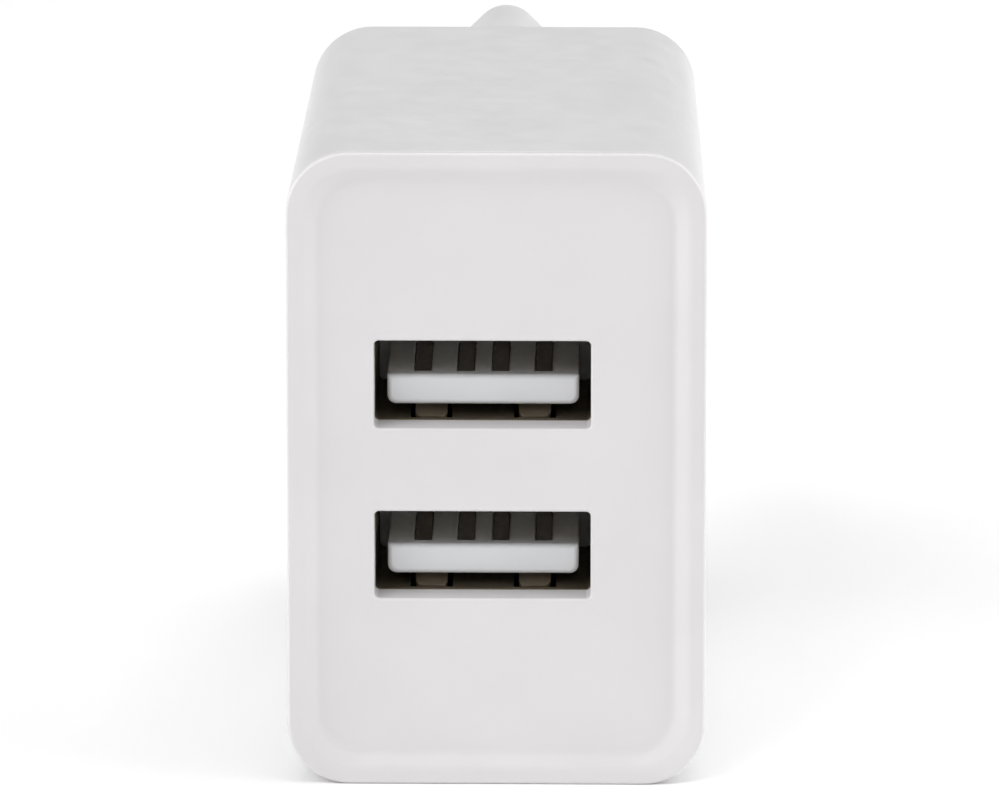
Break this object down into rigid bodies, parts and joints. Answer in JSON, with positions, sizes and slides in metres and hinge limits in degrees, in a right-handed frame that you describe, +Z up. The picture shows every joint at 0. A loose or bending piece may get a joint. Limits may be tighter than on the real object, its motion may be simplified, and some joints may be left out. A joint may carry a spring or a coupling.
{
  "type": "usb wall charger",
  "caption": "Compact wall charger: rounded upright casing with stacked USB-A ports in a sunk front panel and a round-pin Europlug nose at the back.",
  "frame": {"origin": "centre of the plug's engagement face, midway between the two pins", "axes": "+Y out along the pins, -Y out of the USB ports, +Z up with the ports one above the other and the contact tongues facing up, +X to the right seen from the ports"},
  "size_m": [0.0242, 0.065, 0.0376],
  "materials": {
    "casing_plastic": "fine moulded texture, satin",
    "cover_plastic": "fine spark-eroded texture, satin",
    "pin_nickel": "nickel plated, bright with fine turning marks",
    "sleeve_plastic": "smooth moulded insulation",
    "spring_bronze": "rolled phosphor bronze",
    "port_steel": "nickel plated pressed steel",
    "port_plastic": "moulded white, slightly glossy",
    "contact_gold": "thin gold flash on bronze",
    "board_laminate": "green solder mask over laminate",
    "solder": "bright tin solder",
    "ferrite": "ground grey-black ferrite",
    "bobbin_plastic": "moulded black phenolic",
    "enamelled_copper": "enamelled wire turns",
    "tape_film": "yellow polyester tape",
    "tinned_wire": "tinned, slightly dull",
    "can_aluminium": "drawn aluminium",
    "input_sleeve_film": "heat-shrunk dark blue film",
    "bung_rubber": "moulded black rubber",
    "output_sleeve_film": "heat-shrunk dark green film",
    "resistor_coating": "dull green flameproof coating",
    "choke_coating": "dipped green coating",
    "disc_coating": "dipped blue epoxy",
    "chip_epoxy": "moulded black epoxy",
    "chip_resistor_glaze": "black glaze on alumina",
    "chip_ceramic": "tan fired ceramic"
  },
  "bodies": {
    "root": {"housing": "casing_plastic", "face_cover": "cover_plastic", "live_pin": "pin_nickel", "neutral_pin": "pin_nickel", "live_pin_sleeve": "sleeve_plastic", "neutral_pin_sleeve": "sleeve_plastic", "live_contact_strip": "spring_bronze", "neutral_contact_strip": "spring_bronze", "upper_port_shell": "port_steel", "upper_port_insulator": "port_plastic", "upper_port_contacts": "contact_gold", "lower_port_shell": "port_steel", "lower_port_insulator": "port_plastic", "lower_port_contacts": "contact_gold", "main_board": "board_laminate", "solder_joints": "solder", "transformer_core_top": "ferrite", "transformer_core_base": "ferrite", "transformer_bobbin": "bobbin_plastic", "transformer_primary": "enamelled_copper", "transformer_secondary": "enamelled_copper", "transformer_tape": "tape_film", "transformer_pins": "tinned_wire", "upper_input_capacitor_can": "can_aluminium", "upper_input_capacitor_sleeve": "input_sleeve_film", "upper_input_capacitor_bung": "bung_rubber", "upper_input_capacitor_leads": "tinned_wire", "lower_input_capacitor_can": "can_aluminium", "lower_input_capacitor_sleeve": "input_sleeve_film", "lower_input_capacitor_bung": "bung_rubber", "lower_input_capacitor_leads": "tinned_wire", "upper_output_capacitor_can": "can_aluminium", "upper_output_capacitor_sleeve": "output_sleeve_film", "upper_output_capacitor_bung": "bung_rubber", "upper_output_capacitor_leads": "tinned_wire", "lower_output_capacitor_can": "can_aluminium", "lower_output_capacitor_sleeve": "output_sleeve_film", "lower_output_capacitor_bung": "bung_rubber", "lower_output_capacitor_leads": "tinned_wire", "fusible_resistor": "resistor_coating", "fusible_resistor_lead": "tinned_wire", "input_choke": "choke_coating", "input_choke_lead": "tinned_wire", "y_capacitor": "disc_coating", "y_capacitor_leads": "tinned_wire", "optocoupler": "chip_epoxy", "optocoupler_leads": "tinned_wire", "rectifier_diodes": "chip_epoxy", "output_rectifier": "chip_epoxy", "controller_ic": "chip_epoxy", "port_controller_ics": "chip_epoxy", "chip_resistors": "chip_resistor_glaze", "chip_capacitors": "chip_ceramic"}
  },
  "joints": []
}
